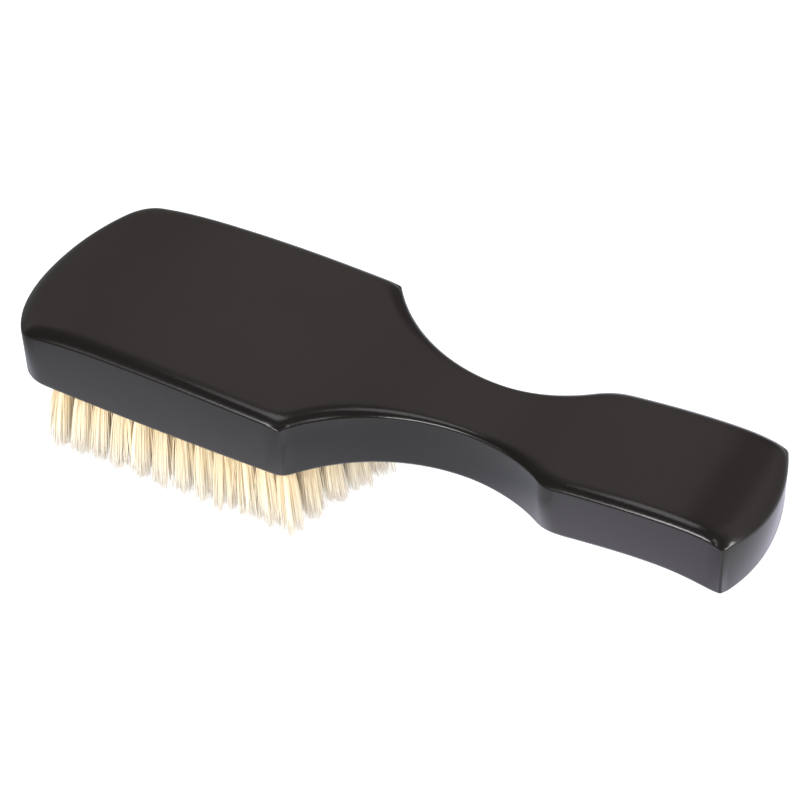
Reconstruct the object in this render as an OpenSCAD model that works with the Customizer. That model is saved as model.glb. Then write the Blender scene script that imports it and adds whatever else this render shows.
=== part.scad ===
// Club-style hairbrush: a one-piece lacquered wooden head and handle with boar
// bristle tufts. Each tuft is folded over a flat wire anchor in a blind hole.
//
// X runs from the head end to the handle end, Y across, Z up. The brush stands on
// its bristle tips, and the origin is on that plane, under the middle of the brush.

/* [Body outline] */
// overall length of the wooden body
brush_l = 205.4; // [195:0.2:225]
// width of the head at its front corners
head_front_w = 58.5; // [54:0.5:66]
// width of the head at its shoulders
head_back_w = 61; // [56:0.5:66]
// how far the side of the head bows out between its corners
head_bow = 0.5; // [0.2:0.1:2]
// distance from the head end's middle back to its front corners
head_end_depth = 12; // [7:0.5:18]
// distance from the head end to the shoulders
head_l = 88.6; // [84:0.2:96]
// distance from the shoulders to the narrowest point of the neck
neck_run = 39.8; // [34:0.2:44]
// width of the neck at its narrowest point
neck_w = 19.9; // [16:0.1:26]
// distance from the narrowest point to the corners of the palm
palm_run = 26; // [22:0.5:30]
// width of the handle at the corners of the palm
palm_w = 37.9; // [32:0.1:44]
// width of the handle at its end corners
tail_w = 37.8; // [32:0.1:44]
// how far the side of the handle bows out between its corners
palm_bow = 0.2; // [0.1:0.1:2]
// distance from the handle end's middle back to its end corners
tail_depth = 4.6; // [2:0.2:10]
// how far the middle of the handle end leans in from its rim to its lower edge
tail_lean = 1.1; // [0:0.1:1.5]

/* [Corner easing] */
// length of each curve that is eased away at a front corner, round the back and the underside
ease_front = 4.9; // [2:0.1:8]
// the same on the side wall
wall_ease_front = 4; // [2:0.1:6]
// length eased away at a shoulder, round the back and the underside
ease_shoulder = 3.8; // [1:0.1:6]
// the same on the side wall
wall_ease_shoulder = 0.6; // [0.3:0.1:3]
// length eased away at a corner of the palm, round the back and the underside
ease_palm = 5.5; // [2:0.1:9]
// the same on the side wall
wall_ease_palm = 3; // [1:0.1:6]
// length eased away at an end corner of the handle, round the back
ease_tail = 3.3; // [1:0.1:7]
// the same on the side wall
wall_ease_tail = 0.9; // [0.3:0.1:3]
// the same round the underside
lower_ease_tail = 4.8; // [1:0.1:7]

/* [Body heights] */
// height of the rim of the back above the plane of the head's underside, at the head's crest
head_t = 18.35; // [16:0.05:24]
// distance from the head end to the crest
crest_x = 45.5; // [35:0.5:60]
// how far the rim falls from the crest to the head end
nose_drop = 6.45; // [2:0.05:8]
// height of the rim at the neck
neck_t = 15.3; // [13:0.1:20]
// height of the rim at the palm's crest
palm_h = 19.1; // [16:0.1:24]
// distance from the handle end to the palm's crest
palm_crest = 18; // [12:0.5:24]
// how far the rim falls from the palm's crest to the handle end
tail_drop = 4; // [0.5:0.1:5]
// distance from the neck to the start of the finger arch under the handle
arch_start = 7; // [2:0.5:15]
// distance from the handle end to the crest of the arch
arch_crest = 22; // [16:0.5:28]
// rise of the finger arch
arch_h = 3.9; // [1:0.1:5]
// how far the underside falls from the arch to the handle end
arch_drop = 4.6; // [1:0.1:6]

/* [Edges] */
// width of the soft crown round the back at the front corners of the head
crown_front = 4.8; // [3:0.1:6]
// width of the crown at the shoulders
crown_shoulder = 3.8; // [2:0.1:5]
// width of the crown at the neck
crown_neck = 1.6; // [1:0.1:3]
// width of the crown round the palm
crown_palm = 3.5; // [2:0.1:5]
// slope of the crown at its rim, in degrees
rim_slope = 42; // [25:1:55]
// radius of the tight edge between the rim and the side wall
edge_r = 0.8; // [0.4:0.05:1.5]
// radius of the lower edge
lower_r = 1.4; // [0.6:0.1:2.2]

/* [Bristle field] */
// free length of the bristles below the wood
bristle_l = 19; // [12:0.5:25]
// number of rows of tufts across the head
row_count = 9; // [5:2:9]
// distance from the side of the head, at its front corners, to the outer row
side_margin = 3.25; // [3:0.05:6]
// distance between the tufts of a row, adjusted to fill the row
tuft_pitch = 6.2; // [5.6:0.1:8]
// distance from the head end to the first tufts
end_margin = 11.2; // [9:0.1:16]
// how far the last tuft of the middle row stands beyond the shoulders
field_past_shoulder = 7; // [-4:0.1:8]
// how much sooner each row ends than its neighbour towards the middle
end_step = 2.2; // [0:0.1:3]
// how far a tip leans out for each millimetre of distance from the field's middle, along the brush
fan_along = 0.06; // [0:0.01:0.08]
// the same, across the brush
fan_across = 0.085; // [0:0.005:0.1]

/* [Tufts and anchors] */
// diameter of the drilled tuft holes
hole_d = 3.8; // [3:0.1:4.4]
// depth of the tuft holes
hole_depth = 9; // [7:0.5:10]
// gap between a tuft and the wall of its hole
tuft_clear = 0.1; // [0.05:0.05:0.2]
// diameter of a tuft at its tips
tip_d = 5; // [4:0.1:5.2]
// thickness of the tuft's fold below its anchor
fold_t = 1.4; // [1:0.1:2]
// thickness of the flat anchor wire
anchor_t = 0.4; // [0.3:0.05:0.6]
// width of the flat anchor wire, along the hole
anchor_w = 1.8; // [1.2:0.1:2.4]
// how far each end of an anchor bites into the wood
anchor_bite = 0.5; // [0.3:0.1:0.7]
// gap round an anchor in its slot
anchor_clear = 0.05; // [0.02:0.01:0.1]

/* [Hidden] */

$fn = 48;
over = 1;              // how far a cutter runs past the face that it opens
steps_end = 12;        // chords along the head end
steps_head = 16;       // along the side of the head
steps_neck = 18;       // along each half of the neck
steps_palm = 16;       // along the side of the handle
steps_tail = 10;       // along the handle end
steps_ease = 6;        // round each eased corner
steps_crown = 7;       // down the crown
steps_edge = 4;        // round the tight edge
steps_lower = 4;       // round the lower edge

black_lacquer = [0.13, 0.12, 0.12];
boar_bristle = [0.92, 0.85, 0.70];
bright_wire = [0.75, 0.75, 0.77];

neck_x = head_l + neck_run;
palm_x = neck_x + palm_run;
palm_crest_x = brush_l - palm_crest;
arch_x = neck_x + arch_start;
arch_crest_x = brush_l - arch_crest;

front_corner = [head_end_depth, head_front_w / 2];
shoulder = [head_l, head_back_w / 2];
neck_point = [neck_x, neck_w / 2];
palm_corner = [palm_x, palm_w / 2];
tail_corner = [brush_l - tail_depth, tail_w / 2];

// An arc is [centre x, centre y, radius].

// Radius of the circle that is tangent to a line and passes run along it and rise off it.
function tangent_r(run, rise) = (run * run + rise * rise) / (2 * rise);

// Arc from p to q that bows out by bow, on the left of the way from p to q.
function bowed_arc(p, q, bow) =
    let (
        chord = norm(q - p),
        r = tangent_r(chord / 2, bow),
        out = [p.y - q.y, q.x - p.x] / chord,
        middle = (p + q) / 2 - out * (r - bow)
    )
    [middle.x, middle.y, r];

head_end_r = tangent_r(front_corner.y, front_corner.x);
neck_front_r = tangent_r(neck_run, shoulder.y - neck_point.y);
neck_back_r = tangent_r(palm_run, palm_corner.y - neck_point.y);
head_side = bowed_arc(front_corner, shoulder, head_bow);
palm_side = bowed_arc(palm_corner, tail_corner, palm_bow);

// The six arcs of one half of the outline, set in by inset. The middle of the handle end
// is set in further by lean, and its corners stay.
function outline_arcs(inset, lean) =
    let (tail_r = tangent_r(tail_corner.y, tail_depth - lean))
    [
        [head_end_r, 0, head_end_r - inset],
        [head_side[0], head_side[1], head_side[2] - inset],
        [neck_x, neck_point.y + neck_front_r, neck_front_r + inset],
        [neck_x, neck_point.y + neck_back_r, neck_back_r + inset],
        [palm_side[0], palm_side[1], palm_side[2] - inset],
        [brush_l - lean - tail_r, 0, tail_r - inset]
    ];

// The point nearest to guess where arcs a and b cross.
function crossing(a, b, guess) =
    let (
        way = [b[0] - a[0], b[1] - a[1]],
        gap = norm(way),
        along = (a[2] * a[2] - b[2] * b[2] + gap * gap) / (2 * gap),
        off = sqrt(max(a[2] * a[2] - along * along, 0)),
        foot = [a[0], a[1]] + way * along / gap,
        side = [-way.y, way.x] / gap * off
    )
    norm(foot + side - guess) < norm(foot - side - guess) ? foot + side : foot - side;

// The ends of the six arcs, from the head end's middle to the handle end's middle.
function outline_ends(arcs) = [
    [arcs[0][0] - arcs[0][2], 0],
    crossing(arcs[0], arcs[1], front_corner),
    crossing(arcs[1], arcs[2], shoulder),
    [neck_x, arcs[2][1] - arcs[2][2]],
    crossing(arcs[3], arcs[4], palm_corner),
    crossing(arcs[4], arcs[5], tail_corner),
    [arcs[5][0] + arcs[5][2], 0]
];

// Lengths eased away at the ends of the arcs: round the back, the wall and the underside.
back_eases = [0, ease_front, ease_shoulder, 0, ease_palm, ease_tail, 0];
wall_eases = [0, wall_ease_front, wall_ease_shoulder, 0, wall_ease_palm, wall_ease_tail, 0];
lower_eases = [0, ease_front, ease_shoulder, 0, ease_palm, lower_ease_tail, 0];
arc_steps = [steps_end, steps_head, steps_neck, steps_neck, steps_palm, steps_tail];

// Points along an arc from p to q, cut short by ease_p and ease_q.
function arc_points(arc, p, q, ease_p, ease_q, steps) =
    let (
        from = atan2(p.y - arc[1], p.x - arc[0]),
        turn = atan2(q.y - arc[1], q.x - arc[0]) - from,
        sweep = turn > 180 ? turn - 360 : turn < -180 ? turn + 360 : turn,
        unit = sign(sweep) * 180 / PI / arc[2],
        a = from + ease_p * unit,
        b = from + sweep - ease_q * unit
    )
    [for (i = [0:steps])
        let (t = a + (b - a) * i / steps)
        [arc[0] + arc[2] * cos(t), arc[1] + arc[2] * sin(t)]];

// Points between p and q on a curve that leaves and arrives along the lines to corner.
function eased_points(p, corner, q) =
    [for (i = [1:steps_ease - 1])
        let (u = i / steps_ease)
        (1 - u) * (1 - u) * p + 2 * u * (1 - u) * corner + u * u * q];

// One half of the outline, from the head end to the handle end, with its corners eased
// by the lengths in cuts.
function half_outline(inset, cuts, lean) =
    let (
        arcs = outline_arcs(inset, lean),
        ends = outline_ends(arcs),
        runs = [for (i = [0:5])
            arc_points(arcs[i], ends[i], ends[i + 1], cuts[i], cuts[i + 1], arc_steps[i])]
    )
    [for (i = [0:5])
        let (joins = i < 5 && cuts[i + 1] > 0, run = runs[i], last = arc_steps[i])
        each concat(
            [for (k = [0:(i == 5 || joins ? last : last - 1)]) run[k]],
            joins ? eased_points(run[last], ends[i + 1], runs[i + 1][0]) : []
        )];

// The whole outline: the half on the +Y side, then the other back to the head end.
function outline(inset, cuts, lean) =
    let (half = half_outline(inset, cuts, lean), count = len(half))
    concat(half, [for (i = [count - 2:-1:1]) [half[i].x, -half[i].y]]);

// A smooth step from a to b as u runs from 0 to 1, level at both ends.
function glide(a, b, u) = a + (b - a) * (1 - cos(180 * min(max(u, 0), 1))) / 2;

// Heights of the back's rim and of the underside above the plane of the head's underside.
function rim_z(x) =
    x < crest_x ? head_t - nose_drop * pow(1 - x / crest_x, 3)
    : x < neck_x ? glide(head_t, neck_t, (x - crest_x) / (neck_x - crest_x))
    : glide(neck_t, palm_h, (x - neck_x) / (palm_crest_x - neck_x))
        - tail_drop * pow(max(x - palm_crest_x, 0) / palm_crest, 2.5);

function under_z(x) =
    glide(0, arch_h, (x - arch_x) / (arch_crest_x - arch_x))
    - arch_drop * pow(max(x - arch_crest_x, 0) / arch_crest, 2);

// Width of the crown, which narrows towards the neck.
function crown_w(x) =
    x < head_l ? glide(crown_front, crown_shoulder, (x - head_end_depth) / (head_l - head_end_depth))
    : x < neck_x ? glide(crown_shoulder, crown_neck, (x - head_l) / neck_run)
    : glide(crown_neck, crown_palm, (x - neck_x) / palm_run);

// Height above the rim of a point of the back that lies in from the rim by reach: the crown
// is an arc that starts at the rim's slope and ends level.
function crown_rise(x, reach) =
    let (
        w = crown_w(x),
        r = w / sin(rim_slope),
        a = asin(sin(rim_slope) * (1 - min(reach / w, 1)))
    )
    r * (cos(a) - cos(rim_slope));

widest_crown = max(crown_front, crown_shoulder, crown_neck, crown_palm);
crown_reaches = [for (i = [0:steps_crown]) widest_crown * pow(1 - i / steps_crown, 1.5)];

// Slopes round the tight edge below the rim, and round the lower edge.
edge_slopes = [for (i = [1:steps_edge]) rim_slope + (90 - rim_slope) * i / steps_edge];
lower_slopes = [for (i = [0:steps_lower]) 90 * (1 - i / steps_lower)];

// How far a rounded edge of radius r stands in from the side wall where it has the slope a.
function edge_inset(r, a) = r * (1 - sin(a));

// Corners change from the wall's easing to another over the steep half of a rounded edge.
function blend_eases(a, other) = wall_eases + min((90 - a) / 45, 1) * (other - wall_eases);

// A closed solid through rings of n points, capped across from one side to the other.
module lofted(rings) {
    n = len(rings[0]);
    half = n / 2;
    last = (len(rings) - 1) * n;
    walls = [for (k = [0:len(rings) - 2], i = [0:n - 1])
        let (a = k * n + i, b = k * n + (i + 1) % n)
        each [[a, b + n, b], [a, a + n, b + n]]];
    back = [for (i = [0:half - 1])
        i == 0 ? [0, 1, n - 1]
        : i == half - 1 ? [i, i + 1, n - i]
        : [i, i + 1, n - i - 1, n - i]];
    underside = [for (f = back) [for (k = [len(f) - 1:-1:0]) f[k] + last]];
    polyhedron(points = [for (ring = rings) each ring], faces = concat(walls, back, underside));
}

module blank() {
    lofted(concat(
        [for (reach = crown_reaches)
            [for (p = outline(edge_inset(edge_r, rim_slope) + reach, back_eases, 0))
                [p.x, p.y, rim_z(p.x) + crown_rise(p.x, reach)]]],
        [for (a = edge_slopes)
            [for (p = outline(edge_inset(edge_r, a), blend_eases(a, back_eases), 0))
                [p.x, p.y, rim_z(p.x) - edge_r * (cos(rim_slope) - cos(a))]]],
        [for (a = lower_slopes)
            [for (p = outline(edge_inset(lower_r, a), blend_eases(a, lower_eases), tail_lean))
                [p.x, p.y, under_z(p.x) + lower_r * (1 - cos(a))]]]
    ));
}

// The bristle field: it starts on the curve of the head end and ends in even steps.
row_pitch = (head_front_w - 2 * side_margin) / (row_count - 1);
field_end = head_l + field_past_shoulder;
field_middle = (end_margin + field_end) / 2;
function row_y(row) = (row - (row_count + 1) / 2) * row_pitch;
function end_curve(y) = head_end_r - sqrt(head_end_r * head_end_r - y * y);
function row_start(row) = end_margin + end_curve(row_y(row));
function row_end(row) = field_end - end_step * abs(row - (row_count + 1) / 2);

// Tufts in a row: even and odd numbers take turns, so that tufts stand opposite gaps.
function tuft_count(row) =
    let (odd = (row + 1) % 2, fit = (row_end(row) - row_start(row)) / tuft_pitch + 1)
    2 * round((fit - odd) / 2) + odd;

// Where the tufts of a row leave the wood.
function mouths(row) =
    let (last = tuft_count(row) - 1)
    [for (i = [0:last])
        [row_start(row) + (row_end(row) - row_start(row)) * i / last, row_y(row)]];

// How far the tips of a tuft lean out from its mouth.
function lean(mouth) = [(mouth.x - field_middle) * fan_along, mouth.y * fan_across];
function tilt(mouth) = atan(norm(lean(mouth)) / bristle_l);

// Runs its children at a hole's mouth, with -Z along the tuft from the wood to the tips.
module at_mouth(mouth) {
    bearing = atan2(lean(mouth).y, lean(mouth).x);
    translate([mouth.x, mouth.y, 0])
    rotate([0, 0, bearing])
    rotate([0, -tilt(mouth), 0])
    rotate([0, 0, -bearing])
    children();
}

// The anchor's block across the hole, set out by margin on every side.
module anchor_block(margin) {
    translate([0, 0, hole_depth - fold_t - anchor_w / 2])
    cube([
        anchor_t + 2 * margin,
        hole_d + 2 * anchor_bite + 2 * margin,
        anchor_w + 2 * margin
    ], center = true);
}

// A tuft that flares from its hole to a point just past the plane of the tips.
module tuft(mouth) {
    root_r = hole_d / 2 - tuft_clear;
    reach = bristle_l / cos(tilt(mouth)) + tip_d / 2 * tan(tilt(mouth));
    at_mouth(mouth)
    difference() {
        rotate_extrude()
        polygon([
            [0, hole_depth - tuft_clear],
            [root_r, hole_depth - tuft_clear],
            [root_r, 0],
            [tip_d / 2, -reach],
            [0, -reach]
        ]);
        anchor_block(anchor_clear);
    }
}

// The space below the plane to which the tips are trimmed.
module below_tips() {
    translate([0, -head_back_w, -bristle_l - over])
    cube([brush_l, 2 * head_back_w, over]);
}

// Everything stands with its bristle tips on the plane Z = 0.
module stand() {
    translate([-brush_l / 2, 0, bristle_l])
    children();
}

module wooden_body() {
    color(black_lacquer)
    stand()
    difference() {
        blank();
        for (row = [1:row_count])
            for (mouth = mouths(row))
                at_mouth(mouth) {
                    translate([0, 0, -over])
                    cylinder(d = hole_d, h = hole_depth + over);
                    anchor_block(anchor_clear);
                }
    }
}

module tuft_row(row) {
    color(boar_bristle)
    stand()
    difference() {
        for (mouth = mouths(row))
            tuft(mouth);
        below_tips();
    }
}

module anchor_row(row) {
    color(bright_wire)
    stand()
    for (mouth = mouths(row))
        at_mouth(mouth)
        anchor_block(0);
}

wooden_body();
for (row = [1:row_count]) {
    tuft_row(row);
    anchor_row(row);
}
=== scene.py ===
"""Looks for a club-style hairbrush: black lacquered wood with tufts of boar bristle."""

import math

import bmesh
import bpy
import numpy as np
from mathutils import Matrix, Vector


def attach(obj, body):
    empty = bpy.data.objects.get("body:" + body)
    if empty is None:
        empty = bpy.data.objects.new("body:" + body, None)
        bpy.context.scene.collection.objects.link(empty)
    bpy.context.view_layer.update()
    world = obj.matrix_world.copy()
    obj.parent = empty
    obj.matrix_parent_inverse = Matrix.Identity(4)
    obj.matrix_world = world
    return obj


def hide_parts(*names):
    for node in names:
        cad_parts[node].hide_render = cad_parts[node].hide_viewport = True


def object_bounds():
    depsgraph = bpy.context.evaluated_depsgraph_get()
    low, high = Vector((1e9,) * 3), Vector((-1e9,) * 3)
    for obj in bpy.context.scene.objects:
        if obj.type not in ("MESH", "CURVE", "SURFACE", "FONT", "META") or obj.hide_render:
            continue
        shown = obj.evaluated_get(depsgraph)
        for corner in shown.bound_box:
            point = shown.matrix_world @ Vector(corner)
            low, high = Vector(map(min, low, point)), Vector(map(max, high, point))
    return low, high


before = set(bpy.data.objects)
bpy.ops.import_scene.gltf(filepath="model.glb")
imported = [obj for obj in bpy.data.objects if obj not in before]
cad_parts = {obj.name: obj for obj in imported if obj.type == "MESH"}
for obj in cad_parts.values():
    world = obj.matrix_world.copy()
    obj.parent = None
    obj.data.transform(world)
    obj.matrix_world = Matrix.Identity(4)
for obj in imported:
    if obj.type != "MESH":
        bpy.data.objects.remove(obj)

CAD_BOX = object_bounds()
BODY_NODE = "wooden_body"
ROW_NODES = sorted(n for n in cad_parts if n.startswith("tuft_row_"))
ANCHOR_NODES = sorted(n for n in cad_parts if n.startswith("anchor_row_"))
MM = 0.001

# The photograph's viewing angle. Angles are in degrees and lengths in metres.
CAMERA_AZIMUTH = 31.38
CAMERA_ELEVATION = 42.61
CAMERA_ROLL = -3.04
CAMERA_DISTANCE = 0.71324
CAMERA_AIM = Vector((0.00139, 0.00139, 0.02598))
CAMERA_LENS_MM = 128.73
CAMERA_SENSOR_MM = 36.0
CAMERA_NEAREST = 0.01
CAMERA_FARTHEST = 50.0

# CAD meshes: how close points are joined, and the angle past which an edge stays sharp.
JOIN_DISTANCE = 0.002 * MM
ISLAND_JOIN_DISTANCE = 0.001 * MM
SHARP_DEGREES = 38

# CAD tufts: the parts of their height that hold the buried end's rim and the tips.
ROOT_END_LEVEL = 0.985
TIP_END_LEVEL = 0.002

# One tuft's bristles. Each clump of them stands round a thicker core of packed ones.
# Radii are given at each ring from root to tip.
BRISTLES_PER_TUFT = 170
CLUMPS_PER_TUFT = 12
BRISTLE_SIDES = 3
BRISTLE_RADII = np.array([0.13, 0.13, 0.125, 0.115, 0.105, 0.085]) * MM
CORE_SIDES = 6
CORE_RADII = np.array([0.64, 0.68, 0.70, 0.66, 0.52, 0.14]) * MM
BRISTLE_IN_HOLE = 1.6 * MM
SEED = 20

# How a tuft opens: how wide its tips stand against the CAD tuft's tips, and how soon. A
# power below 1 opens it near the wood.
TIP_SPREAD = 1.25
SPLAY_POWER = 0.42

# Where bristles stand, as shares of the tuft's radius: how much of it the clumps' middles
# fill, how far clumps and bristles wander at their tips, how much of its place in the clump
# a bristle keeps there, and the scatter of an even spread of points.
CLUMP_SPREAD = 0.85
CLUMP_WANDER = 0.16
BRISTLE_WANDER = 0.11
PLACE_KEPT = 0.75
POINT_SCATTER = 0.25

# How far clumps and bristles bend sideways, as shares of the tip radius.
CLUMP_BEND = 0.05
BRISTLE_BEND = 0.07

# By what share of their length bristles end early: each clump and bristle on average, the
# cores besides, and the most that any may lose.
CLUMP_SHORTER = 0.020
BRISTLE_SHORTER = 0.024
CORE_SHORTER = 0.11
MOST_SHORTER = 0.35

# Stray bristles: their share of all, how far they lean out and at most, and their bend
# against the others'.
STRAY_SHARE = 0.03
STRAY_LEAN = 0.6
STRAY_LEAN_MOST = 1.0
STRAY_BEND = 2.0

# The share of a bristle's tone that its clump sets.
CLUMP_TONE_SHARE = 0.6

# The empty border round each tube's cell of the baked picture, as a share of the cell.
CELL_BORDER = 0.2

# The light tent, a glowing cloth that lights nothing and that only the lacquer mirrors, as
# painted reflections: how bright its cloth is over the arc from the back (0 degrees), over the
# top (90) to the front (180), and by how much that changes from its left side to its right.
TENT_RADIUS = 4.0
TENT_SEGMENTS = 64
TENT_RINGS = 32
TENT_RIM_TOLERANCE = 0.01
TENT_REFLECTION_ARC = [
    (0, 0.30), (20, 0.36), (35, 0.46), (47, 0.62), (58, 0.55), (66, 0.33), (75, 0.18), (82, 0.10),
    (93, 0.05), (105, 0.01), (135, 0.03), (150, 0.20), (180, 0.25)
]
TENT_REFLECTION_ACROSS = [
    (-0.55, 0.70), (-0.41, 0.97), (-0.28, 1.0), (-0.22, 0.74), (-0.15, 0.44), (0.15, 0.50), (0.3, 1.0)
]
TENT_TINT = (1.0, 0.88, 0.83)

# The key light is a row of panels in front: where each begins and ends, and its radiance,
# which grows from left to right. They share a height, a place in front of the brush and up,
# and the line that they face.
KEY_HEIGHT = 0.23
KEY_FRONT = -0.662
KEY_UP = 0.727
KEY_PANELS = [
    (-0.95, -0.46, 1.3),
    (-0.46, -0.36, 2.8),
    (-0.36, -0.29, 4.6),
    (-0.29, 0.20, 12.5),
]

# The floor is square. The lacquer mirrors it, from left to right over a stretch under the
# brush, as a painted reflection: painted shade at the left, a cool white that grows as a
# painted pool of light, a grey stripe that is a painted shadow of the brush, and it dims
# again at the right.
FLOOR_SIZE = 12.0
FLOOR_STRETCH = 0.30
FLOOR_PAINTED_REFLECTION = [
    (0.00, (0.13, 0.14, 0.13)),
    (0.12, (0.24, 0.26, 0.35)),
    (0.18, (0.30, 0.32, 0.41)),
    (0.30, (0.38, 0.40, 0.49)),
    (0.42, (0.46, 0.49, 0.57)),
    (0.515, (0.55, 0.57, 0.68)),
    (0.55, (0.30, 0.34, 0.43)),
    (0.60, (0.76, 0.75, 0.90)),
    (0.67, (0.84, 0.81, 1.00)),
    (0.76, (0.82, 0.78, 1.00)),
    (0.88, (0.58, 0.57, 0.71)),
    (1.00, (0.46, 0.46, 0.47)),
]

# The share of lamp light that the floor adds to that, less at the far left as painted shade
# in what the lacquer mirrors, and its own white as the camera sees it.
FLOOR_FAINT = 0.36
FLOOR_LIT = [(0.0, (0.06, 0.06, 0.06)), (0.13, (FLOOR_FAINT, FLOOR_FAINT, FLOOR_FAINT))]
FLOOR_SEEN = 0.84

# What the floor sends up to light the brush: its matt share of lamp light and a soft glow.
FLOOR_MATT = 0.55
FLOOR_GLOW = 0.60

# The pale surroundings, as they light the brush and as they are seen.
SKY_LIGHT = 0.60
SKY_SEEN = 1.0


# ---------------------------------------------------------------- node helpers

class Nodes:
    """A short way to write a node tree."""

    def __init__(self, tree):
        self.tree = tree
        tree.nodes.clear()

    def add(self, kind, _inputs=None, **settings):
        node = self.tree.nodes.new(kind)
        for name, value in settings.items():
            setattr(node, name, value)
        for name, value in (_inputs or {}).items():
            socket = node.inputs[name]
            if isinstance(value, bpy.types.NodeSocket):
                self.tree.links.new(value, socket)
            else:
                socket.default_value = value
        return node

    def math(self, operation, *values):
        node = self.add("ShaderNodeMath", dict(enumerate(values)), operation=operation)
        return node.outputs[0]

    def ramp(self, factor, stops):
        node = self.add("ShaderNodeValToRGB", {"Fac": factor})
        while len(node.color_ramp.elements) < len(stops):
            node.color_ramp.elements.new(0.5)
        for element, (place, colour) in zip(node.color_ramp.elements, stops):
            element.position = place
            element.color = (*colour, 1.0)
        return node.outputs["Color"]

    def mix(self, factor, colour, other, blend_type="MIX"):
        node = self.add(
            "ShaderNodeMix", {0: factor, 6: colour, 7: other},
            data_type="RGBA", blend_type=blend_type
        )
        return node.outputs[2]

    def tint(self, colour, by):
        return self.mix(1.0, colour, by, "MULTIPLY")

    def matt_and_glow(self, colour, glow):
        """A matt surface that also gives off light."""
        matt = self.add("ShaderNodeBsdfDiffuse", {"Color": colour})
        light = self.add("ShaderNodeEmission", {"Color": glow, "Strength": 1.0})
        both = self.add("ShaderNodeAddShader", {0: matt.outputs[0], 1: light.outputs[0]})
        return both.outputs[0]


def grey(value):
    """That level in each channel, opaque."""
    return (value, value, value, 1.0)


def new_material(name):
    material = bpy.data.materials.new(name)
    material.use_nodes = True
    return material, Nodes(material.node_tree)


def seen_rays(nodes):
    """1 for what the camera, reflections and clear materials see, 0 for what lights the object."""
    path = nodes.add("ShaderNodeLightPath")
    seen = nodes.math("MAXIMUM", path.outputs["Is Camera Ray"], path.outputs["Is Glossy Ray"])
    return nodes.math("MAXIMUM", seen, path.outputs["Is Transmission Ray"])


# ---------------------------------------------------------------- materials

def lacquer_material():
    """Black satin lacquer over wood: faint grain under the film and a slightly uneven flow."""
    material, n = new_material("black_satin_lacquer")
    place = n.add("ShaderNodeTexCoord").outputs["Object"]
    along = n.add("ShaderNodeMapping", {"Vector": place, "Scale": (60.0, 900.0, 900.0)})
    grain = n.add("ShaderNodeTexNoise", {"Vector": along.outputs[0], "Scale": 1.0, "Detail": 4.0})
    flow = n.add("ShaderNodeTexNoise", {"Vector": place, "Scale": 1500.0, "Detail": 2.0})
    patch = n.add("ShaderNodeTexNoise", {"Vector": place, "Scale": 35.0, "Detail": 3.0})
    colour = n.ramp(patch.outputs["Fac"], [
        (0.3, (0.0096, 0.0083, 0.0080)),
        (0.7, (0.0116, 0.0100, 0.0096)),
    ])
    rough = n.add("ShaderNodeMapRange", {
        "Value": patch.outputs["Fac"], "To Min": 0.16, "To Max": 0.21,
    })
    grain_bump = n.add("ShaderNodeBump", {
        "Height": grain.outputs["Fac"], "Strength": 0.09, "Distance": 0.0001,
    })
    flow_bump = n.add("ShaderNodeBump", {
        "Height": flow.outputs["Fac"], "Strength": 0.18, "Distance": 0.0001,
        "Normal": grain_bump.outputs[0],
    })
    shader = n.add("ShaderNodeBsdfPrincipled", {
        "Base Color": colour,
        "Roughness": rough.outputs[0],
        "IOR": 1.5,
        "Normal": flow_bump.outputs[0],
    })
    n.add("ShaderNodeOutputMaterial", {"Surface": shader.outputs[0]})
    return material


def bristle_material():
    """Cream boar bristle: tan in the tuft's root, paler to the tips, each bristle its own tone."""
    material, n = new_material("cream_boar_bristle")
    along = n.add("ShaderNodeAttribute", attribute_name="along").outputs["Fac"]
    tone = n.add("ShaderNodeAttribute", attribute_name="tone").outputs["Fac"]
    length_colour = n.ramp(along, [
        (0.0, (0.90, 0.71, 0.45)),
        (0.2, (0.95, 0.78, 0.52)),
        (0.5, (0.97, 0.845, 0.62)),
        (0.8, (0.99, 0.91, 0.76)),
        (1.0, (1.00, 0.93, 0.84)),
    ])
    tone_colour = n.ramp(tone, [
        (0.0, (0.94, 0.90, 0.83)),
        (0.2, (0.98, 0.955, 0.91)),
        (0.6, (1.0, 1.0, 1.0)),
        (1.0, (1.0, 1.0, 1.0)),
    ])
    colour = n.tint(length_colour, tone_colour)
    shader = n.add("ShaderNodeBsdfPrincipled", {
        "Base Color": colour,
        "Roughness": 0.45,
        "IOR": 1.54,
        "Subsurface Weight": 0.1,
        "Subsurface Radius": (1.0, 0.85, 0.6),
        "Subsurface Scale": 0.0006,
    })
    n.add("ShaderNodeOutputMaterial", {"Surface": shader.outputs[0]})
    return material


def wire_material():
    """Drawn flat wire: bright steel with fine lines along it."""
    material, n = new_material("flat_anchor_wire")
    place = n.add("ShaderNodeTexCoord").outputs["Object"]
    lines = n.add("ShaderNodeMapping", {"Vector": place, "Scale": (4000.0, 200.0, 9000.0)})
    noise = n.add("ShaderNodeTexNoise", {"Vector": lines.outputs[0], "Scale": 1.0, "Detail": 2.0})
    colour = n.ramp(noise.outputs["Fac"], [
        (0.3, (0.42, 0.42, 0.43)),
        (0.7, (0.62, 0.62, 0.63)),
    ])
    rough = n.add("ShaderNodeMapRange", {
        "Value": noise.outputs["Fac"], "To Min": 0.22, "To Max": 0.4,
    })
    shader = n.add("ShaderNodeBsdfPrincipled", {
        "Base Color": colour,
        "Metallic": 1.0,
        "Roughness": rough.outputs[0],
    })
    n.add("ShaderNodeOutputMaterial", {"Surface": shader.outputs[0]})
    return material


# ---------------------------------------------------------------- CAD nodes

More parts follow.
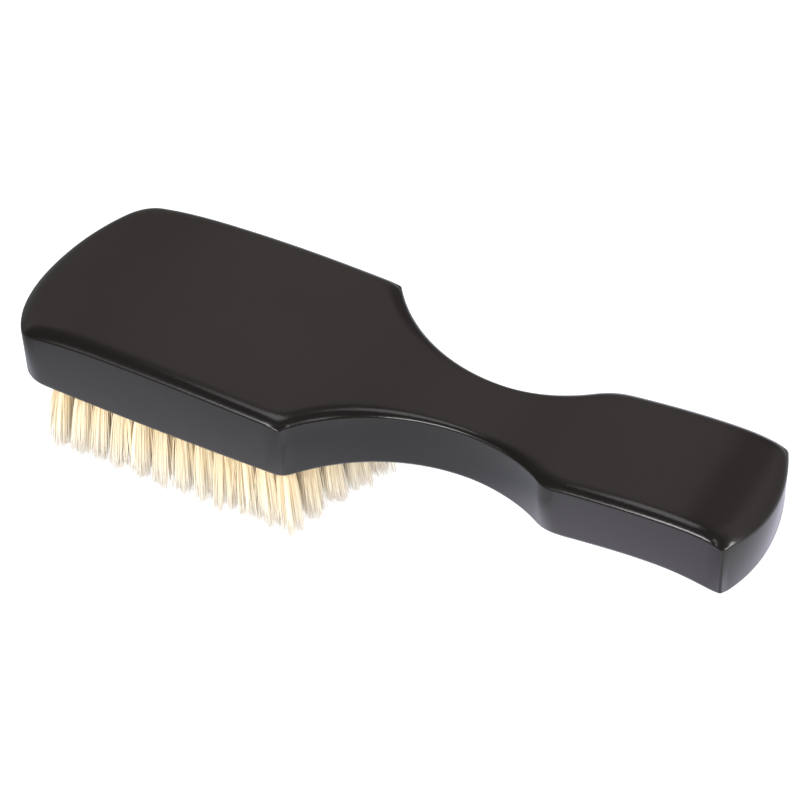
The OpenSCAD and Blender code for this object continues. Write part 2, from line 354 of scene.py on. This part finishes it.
def smooth_group():
    """Geometry nodes that join the mesh's split vertices and shade it smooth up to sharp edges."""
    group = bpy.data.node_groups.new("smooth_by_angle", "GeometryNodeTree")
    group.interface.new_socket("Geometry", in_out="INPUT", socket_type="NodeSocketGeometry")
    group.interface.new_socket("Geometry", in_out="OUTPUT", socket_type="NodeSocketGeometry")
    n = Nodes(group)
    start = n.add("NodeGroupInput")
    merged = n.add("GeometryNodeMergeByDistance", {
        "Geometry": start.outputs[0], "Distance": JOIN_DISTANCE,
    })
    angle = n.add("GeometryNodeInputMeshEdgeAngle")
    sharp = n.add("FunctionNodeCompare", {0: angle.outputs[0], 1: math.radians(SHARP_DEGREES)})
    sharp.operation = "GREATER_THAN"
    normals = n.add("GeometryNodeSetMeshNormal", {"Mesh": merged.outputs[0]})
    normals.mode = "SHARPNESS"
    n.tree.links.new(sharp.outputs[0], normals.inputs["Edge Sharpness"])
    end = n.add("NodeGroupOutput")
    n.tree.links.new(normals.outputs[0], end.inputs[0])
    return group


def dress(node_name, material, group=None):
    """Gives a CAD node its finish, and the modifier group if there is one."""
    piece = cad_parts[node_name]
    piece.data.materials.clear()
    piece.data.materials.append(material)
    if group:
        smoothing = piece.modifiers.new("smooth", "NODES")
        smoothing.node_group = group


# ---------------------------------------------------------------- bristles

def islands(mesh):
    """The corner points of each separate solid of a CAD mesh, as arrays."""
    bm = bmesh.new()
    bm.from_mesh(mesh)
    bmesh.ops.remove_doubles(bm, verts=bm.verts, dist=ISLAND_JOIN_DISTANCE)
    seen = set()
    found = []
    for first in bm.verts:
        if first in seen:
            continue
        seen.add(first)
        stack = [first]
        part = []
        while stack:
            vert = stack.pop()
            part.append(tuple(vert.co))
            for edge in vert.link_edges:
                other = edge.other_vert(vert)
                if other not in seen:
                    seen.add(other)
                    stack.append(other)
        found.append(np.array(part))
    bm.free()
    return sorted(found, key=lambda points: points[:, 0].mean())


def tuft_axis(points):
    """Centre and radius of a CAD tuft's buried end, then centre and radius of its tips."""
    low = points[:, 2].min()
    height = points[:, 2].max() - low
    level = (points[:, 2] - low) / height
    top = points[level > ROOT_END_LEVEL]
    tips = points[level < TIP_END_LEVEL]
    top_centre = (top.max(0) + top.min(0)) / 2
    tip_centre = (tips.max(0) + tips.min(0)) / 2
    tip_r = (tips[:, 1].max() - tips[:, 1].min()) / 2
    top_r = (top[:, 1].max() - top[:, 1].min()) / 2
    return top_centre, top_r, tip_centre, tip_r


def disc_points(rng, count):
    """Evenly scattered points on a unit disc."""
    turn = math.pi * (3 - math.sqrt(5))
    order = np.arange(count) + 0.5
    radius = np.sqrt(order / count)
    angle = order * turn + rng.uniform(0, 2 * math.pi)
    points = np.stack([radius * np.cos(angle), radius * np.sin(angle)], 1)
    return points + rng.normal(0, POINT_SCATTER / math.sqrt(count), points.shape)


def centre_lines(tuft, foot, end, curve, cut):
    """Lines from foot to end, places in the tuft's mouth and tip circles, bent and cut short."""
    mouth, mouth_r, tip, tip_r = tuft
    axis = tip - mouth
    start = -BRISTLE_IN_HOLE / np.linalg.norm(axis)
    share = np.linspace(0, 1, len(BRISTLE_RADII))[None, :, None]
    t = start + (1 - np.clip(cut, 0, MOST_SHORTER)[:, None, None] - start) * share
    open_t = np.clip(t, 0, None)
    splay = open_t ** SPLAY_POWER
    flat = foot[:, None] * (mouth_r - BRISTLE_RADII[0]) * (1 - splay)
    flat = flat + end[:, None] * tip_r * TIP_SPREAD * splay
    flat = flat + curve[:, None] * tip_r * (4 * open_t * (1 - open_t))
    line = mouth[None, None] + axis[None, None] * t
    line[..., 0] += flat[..., 0]
    line[..., 1] += flat[..., 1]
    line[..., 2] = np.maximum(line[..., 2], tip[2] + BRISTLE_RADII[-1])
    return line


def tuft_bristles(rng, tuft):
    """Centre lines and tones of one tuft's bristles, and of the cores of its clumps."""
    count = BRISTLES_PER_TUFT
    roots = disc_points(rng, count)
    clumps = disc_points(rng, CLUMPS_PER_TUFT) * CLUMP_SPREAD
    member = np.argmin(((roots[:, None] - clumps[None]) ** 2).sum(2), 1)
    clump_ends = clumps + rng.normal(0, CLUMP_WANDER, clumps.shape)
    clump_short = rng.exponential(CLUMP_SHORTER, len(clumps))
    clump_tone = rng.uniform(0, 1, len(clumps))
    clump_bend = rng.normal(0, CLUMP_BEND, clumps.shape)
    ends = clump_ends[member] + (roots - clumps[member]) * PLACE_KEPT
    ends += rng.normal(0, BRISTLE_WANDER, ends.shape)
    short = clump_short[member] + rng.exponential(BRISTLE_SHORTER, count)
    bend = clump_bend[member] + rng.normal(0, BRISTLE_BEND, (count, 2))
    stray = rng.uniform(0, 1, count) < STRAY_SHARE
    lean = rng.normal(0, STRAY_LEAN, (int(stray.sum()), 2))
    ends[stray] += np.clip(lean, -STRAY_LEAN_MOST, STRAY_LEAN_MOST)
    bend[stray] *= STRAY_BEND
    own_tone = rng.uniform(0, 1, count)
    tone = CLUMP_TONE_SHARE * clump_tone[member] + (1 - CLUMP_TONE_SHARE) * own_tone
    strands = centre_lines(tuft, roots, ends, bend, short)
    _, mouth_r, _, _ = tuft
    core_roots = clumps / CLUMP_SPREAD * (1 - CORE_RADII[0] / mouth_r)
    cores = centre_lines(tuft, core_roots, clump_ends, clump_bend, clump_short + CORE_SHORTER)
    return (strands, tone), (cores, clump_tone)


def tube_points(lines, radii, sides):
    """Corner points of thin tubes along the given lines, shape (count, rings, sides, 3)."""
    way = np.gradient(lines, axis=1)
    way /= np.linalg.norm(way, axis=2, keepdims=True)
    across = np.cross(way, np.array([0.0, 1.0, 0.0]))
    across /= np.linalg.norm(across, axis=2, keepdims=True)
    other = np.cross(way, across)
    angle = 2 * math.pi * np.arange(sides) / sides
    ring = (
        across[:, :, None] * np.cos(angle)[None, None, :, None]
        + other[:, :, None] * np.sin(angle)[None, None, :, None]
    )
    return lines[:, :, None] + ring * radii[None, :, None, None]


def tube_faces(count, rings, sides, first):
    """Faces of closed tubes whose points are numbered from first."""
    base = (first + np.arange(count) * rings * sides)[:, None, None]
    row = (np.arange(rings - 1) * sides)[None, :, None]
    side = np.arange(sides)[None, None]
    after = (side + 1) % sides
    ring = base + row
    above = ring + sides
    quads = np.stack([ring + side, ring + after, above + after, above + side], 3).reshape(-1, 4)
    last = base[:, 0] + (rings - 1) * sides
    caps = last + np.arange(sides)[None]
    roots = base[:, 0] + np.arange(sides)[None, ::-1]
    return quads.tolist() + caps.tolist() + roots.tolist()


def bake_cells(number, rings, sides, columns):
    """Gives each tube a cell of the baked picture, with its length up the cell."""
    uv = np.empty((len(number), rings, sides, 2))
    low, high = CELL_BORDER, 1 - CELL_BORDER
    uv[..., 0] = (number % columns)[:, None, None] + np.linspace(low, high, sides)[None, None]
    uv[..., 1] = (number // columns)[:, None, None] + np.linspace(low, high, rings)[None, :, None]
    return uv.reshape(-1, 2) / columns


def tube_mesh(name, bundles):
    """One mesh of bundles of tubes, each (lines, tones, radius at each ring, sides)."""
    columns = math.ceil(math.sqrt(sum(len(bundle[0]) for bundle in bundles)))
    verts, faces, cells, along, tone = [], [], [], [], []
    first = 0
    number = 0
    for lines, tones, radii, sides in bundles:
        count, rings, _ = lines.shape
        shape = (count, rings, sides)
        verts.append(tube_points(lines, radii, sides).reshape(-1, 3))
        faces += tube_faces(count, rings, sides, first)
        cells.append(bake_cells(number + np.arange(count), rings, sides, columns))
        along.append(np.broadcast_to(np.linspace(0, 1, rings)[None, :, None], shape).ravel())
        tone.append(np.broadcast_to(tones[:, None, None], shape).ravel())
        first += count * rings * sides
        number += count
    mesh = bpy.data.meshes.new(name)
    mesh.from_pydata(np.concatenate(verts).tolist(), [], faces)
    for attribute, values in (("along", along), ("tone", tone)):
        layer = mesh.attributes.new(attribute, "FLOAT", "POINT")
        layer.data.foreach_set("value", np.concatenate(values).astype(np.float32))
    corners = np.empty(len(mesh.loops), np.int32)
    mesh.loops.foreach_get("vertex_index", corners)
    layer = mesh.uv_layers.new(name="OFBake")
    layer.data.foreach_set("uv", np.concatenate(cells)[corners].ravel())
    mesh.polygons.foreach_set("use_smooth", [True] * len(mesh.polygons))
    return mesh


def head_underside():
    """Height of the face that the bristles leave: the lowest level of the body's head half."""
    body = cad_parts[BODY_NODE]
    points = [body.matrix_world @ v.co for v in body.data.vertices]
    return min(p.z for p in points if p.x < 0)


def bristle_row(node_name, material, mouth_z):
    """Puts one mesh of single bristles in the place of one row of CAD tufts."""
    number = node_name.rsplit("_", 1)[1]
    rng = np.random.default_rng(SEED + int(number))
    strands = []
    cores = []
    for points in islands(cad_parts[node_name].data):
        top, mouth_r, tip, tip_r = tuft_axis(points)
        share = (top[2] - mouth_z) / (top[2] - tip[2])
        mouth = top + (tip - top) * share
        strand, core = tuft_bristles(rng, (mouth, mouth_r, tip, tip_r))
        strands.append(strand)
        cores.append(core)
    mesh = tube_mesh("bristles_" + number, [
        (*map(np.concatenate, zip(*strands)), BRISTLE_RADII, BRISTLE_SIDES),
        (*map(np.concatenate, zip(*cores)), CORE_RADII, CORE_SIDES),
    ])
    piece = bpy.data.objects.new("bristles_row_" + number, mesh)
    bpy.context.scene.collection.objects.link(piece)
    mesh.materials.append(material)
    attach(piece, "root")
    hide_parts(node_name)


# ---------------------------------------------------------------- camera, stage and light

def look_basis(azimuth, elevation, roll):
    """Columns right, up and back of a camera that looks down on the brush."""
    a, e, r = (math.radians(x) for x in (azimuth, elevation, roll))
    back = Vector((math.sin(a) * math.cos(e), -math.cos(a) * math.cos(e), math.sin(e)))
    level = Vector((math.cos(a), math.sin(a), 0.0))
    upright = back.cross(level)
    right = level * math.cos(r) + upright * math.sin(r)
    up = upright * math.cos(r) - level * math.sin(r)
    return right, up, back


def make_camera():
    right, up, back = look_basis(CAMERA_AZIMUTH, CAMERA_ELEVATION, CAMERA_ROLL)
    data = bpy.data.cameras.new("camera")
    data.sensor_width = CAMERA_SENSOR_MM
    data.lens = CAMERA_LENS_MM
    data.clip_start = CAMERA_NEAREST
    data.clip_end = CAMERA_FARTHEST
    camera = bpy.data.objects.new("camera", data)
    bpy.context.scene.collection.objects.link(camera)
    turn = Matrix((right, up, back)).transposed().to_4x4()
    camera.matrix_world = Matrix.Translation(CAMERA_AIM + back * CAMERA_DISTANCE) @ turn
    bpy.context.scene.camera = camera


def flat_sheet(name, size):
    half = size / 2
    corners = [(-half, -half, 0), (half, -half, 0), (half, half, 0), (-half, half, 0)]
    mesh = bpy.data.meshes.new(name)
    mesh.from_pydata(corners, [], [(0, 1, 2, 3)])
    sheet = bpy.data.objects.new(name, mesh)
    bpy.context.scene.collection.objects.link(sheet)
    return sheet


def floor_material():
    """White paper with the brush's shadow, which lights the brush from below.

    The lacquer mirrors it in its own row of greys, a painted reflection with painted shade, a
    painted shadow of the brush and a painted pool of light, and from its underside it is clear,
    so that the brush shows through.
    """
    material, n = new_material("white_floor")
    camera_ray = n.add("ShaderNodeLightPath").outputs["Is Camera Ray"]
    place = n.add("ShaderNodeTexCoord").outputs["Object"]
    across = n.add("ShaderNodeSeparateXYZ", {"Vector": place}).outputs["X"]
    from_left = n.add("ShaderNodeMapRange", {
        "Value": across, "From Min": -0.5 * FLOOR_STRETCH, "From Max": 0.5 * FLOOR_STRETCH,
    }).outputs[0]
    # The camera sees plain white here; the lacquer mirrors a painted reflection instead, with painted
    # shade, a painted shadow of the brush and a painted pool of light.
    white = n.mix(camera_ray, n.ramp(from_left, FLOOR_PAINTED_REFLECTION), grey(FLOOR_SEEN))
    # What the lacquer mirrors takes less lamp light at the far left: painted shade in its
    # reflections.
    shade = n.mix(camera_ray, n.ramp(from_left, FLOOR_LIT), grey(FLOOR_FAINT))
    seen = n.matt_and_glow(shade, white)
    lighting = n.matt_and_glow(grey(FLOOR_MATT), grey(FLOOR_GLOW))
    paper = n.add("ShaderNodeMixShader", {0: seen_rays(n), 1: lighting, 2: seen})
    clear = n.add("ShaderNodeBsdfTransparent")
    below = n.add("ShaderNodeNewGeometry").outputs["Backfacing"]
    mixed = n.add("ShaderNodeMixShader", {0: below, 1: paper.outputs[0], 2: clear.outputs[0]})
    n.add("ShaderNodeOutputMaterial", {"Surface": mixed.outputs[0]})
    return material


def make_floor():
    floor = flat_sheet("floor", FLOOR_SIZE)
    floor.location.z = CAD_BOX[0].z
    floor.data.materials.append(floor_material())


def dome_material():
    """The inside of a light tent, glowing only as painted reflections: brightest behind the brush,
    nearly dark over its top.
    """
    material, n = new_material("tent_painted_reflection")
    place = n.add("ShaderNodeTexCoord").outputs["Object"]
    way = n.add("ShaderNodeVectorMath", {0: place}, operation="NORMALIZE")
    split = n.add("ShaderNodeSeparateXYZ", {0: way.outputs[0]})
    turn = n.math("ARCTAN2", split.outputs["Z"], split.outputs["Y"])
    over = n.math("DIVIDE", turn, math.pi)
    side = n.math("MULTIPLY_ADD", split.outputs["X"], 0.5, 0.5)
    level = n.ramp(over, [(angle / 180, (v, v, v)) for angle, v in TENT_REFLECTION_ARC])
    across = n.ramp(side, [(x / 2 + 0.5, (v, v, v)) for x, v in TENT_REFLECTION_ACROSS])
    cloth = n.tint(n.tint(level, across), (*TENT_TINT, 1.0))
    glow = n.add("ShaderNodeEmission", {"Color": cloth, "Strength": 1.0})
    n.add("ShaderNodeOutputMaterial", {"Surface": glow.outputs[0]})
    return material


def make_dome():
    """The upper half of a sphere, which only the lacquer's reflections show: a painted reflection
    that lights nothing.
    """
    bm = bmesh.new()
    bmesh.ops.create_uvsphere(
        bm, u_segments=TENT_SEGMENTS, v_segments=TENT_RINGS, radius=TENT_RADIUS
    )
    below = [v for v in bm.verts if v.co.z < -TENT_RIM_TOLERANCE]
    bmesh.ops.delete(bm, geom=below, context="VERTS")
    mesh = bpy.data.meshes.new("tent")
    bm.to_mesh(mesh)
    bm.free()
    dome = bpy.data.objects.new("tent", mesh)
    bpy.context.scene.collection.objects.link(dome)
    dome.location.z = CAD_BOX[0].z
    dome.data.materials.append(dome_material())
    dome.visible_camera = False
    dome.visible_diffuse = False
    dome.visible_shadow = False


def softbox(name, place, aim, size_x, size_y, radiance):
    data = bpy.data.lights.new(name, "AREA")
    data.shape = "RECTANGLE"
    data.size = size_x
    data.size_y = size_y
    data.energy = radiance * math.pi * size_x * size_y
    lamp = bpy.data.objects.new(name, data)
    bpy.context.scene.collection.objects.link(lamp)
    lamp.location = place
    way = (Vector(aim) - Vector(place)).normalized()
    lamp.rotation_mode = "QUATERNION"
    lamp.rotation_quaternion = way.to_track_quat("-Z", "Y")
    return lamp


def at_angle(azimuth, elevation, distance):
    """A point at that bearing from the brush; azimuth 0 is in front, on the -Y side."""
    a, e = math.radians(azimuth), math.radians(elevation)
    return distance * Vector((math.sin(a) * math.cos(e), -math.cos(a) * math.cos(e), math.sin(e)))


# The other lamps: name, place, what it aims at, width, height and radiance. The soft ones
# only light the brush, and the lacquer mirrors the others as its small highlights.
BRUSH_CENTRE = (0.0, -0.01, 0.03)
SOFT_LAMPS = [
    ("fill_light", (-0.05, -1.0, 0.27), BRUSH_CENTRE, 0.80, 0.36, 1.2),
    ("low_light", at_angle(33, 9, 1.0), BRUSH_CENTRE, 0.60, 0.20, 6.0),
    ("right_light", at_angle(78, 8, 1.0), BRUSH_CENTRE, 0.50, 0.18, 6.3),
    ("back_light", at_angle(215, 12, 1.0), BRUSH_CENTRE, 0.60, 0.20, 6.0),
]
HIGHLIGHT_LAMPS = [
    ("side_light", at_angle(95, 17, 0.6), BRUSH_CENTRE, 0.18, 0.14, 11.0),
    ("corner_light", (0.50, -0.31, 0.85), BRUSH_CENTRE, 0.16, 0.13, 4.0),
    ("strip_light", (-0.150, 0.060, 0.87), (0.03, -0.02, 0.035), 0.265, 0.395, 2.1),
]


def make_lamps():
    _, aim_y, aim_z = BRUSH_CENTRE
    for left, right, radiance in KEY_PANELS:
        middle = (left + right) / 2
        place = (middle, KEY_FRONT, KEY_UP)
        softbox("key_light", place, (middle, aim_y, aim_z), right - left, KEY_HEIGHT, radiance)
    for lamp in SOFT_LAMPS:
        softbox(*lamp).visible_glossy = False
    for lamp in HIGHLIGHT_LAMPS:
        softbox(*lamp)


def make_world():
    world = bpy.data.worlds.new("studio")
    bpy.context.scene.world = world
    world.use_nodes = True
    n = Nodes(world.node_tree)
    level = n.add("ShaderNodeMapRange", {
        "Value": seen_rays(n), "To Min": SKY_LIGHT, "To Max": SKY_SEEN,
    })
    sky = n.add("ShaderNodeBackground", {"Color": (1, 1, 1, 1), "Strength": level.outputs[0]})
    n.add("ShaderNodeOutputWorld", {"Surface": sky.outputs[0]})


def make_studio():
    make_floor()
    make_world()
    make_dome()
    make_lamps()


# ---------------------------------------------------------------- the scene

def build():
    smooth = smooth_group()
    dress(BODY_NODE, lacquer_material(), smooth)
    wire = wire_material()
    for name in ANCHOR_NODES:
        dress(name, wire)
    bristle = bristle_material()
    mouth_z = head_underside()
    for name in ROW_NODES:
        bristle_row(name, bristle, mouth_z)
    make_studio()
    make_camera()
    bpy.context.scene.view_settings.view_transform = "Standard"


build()
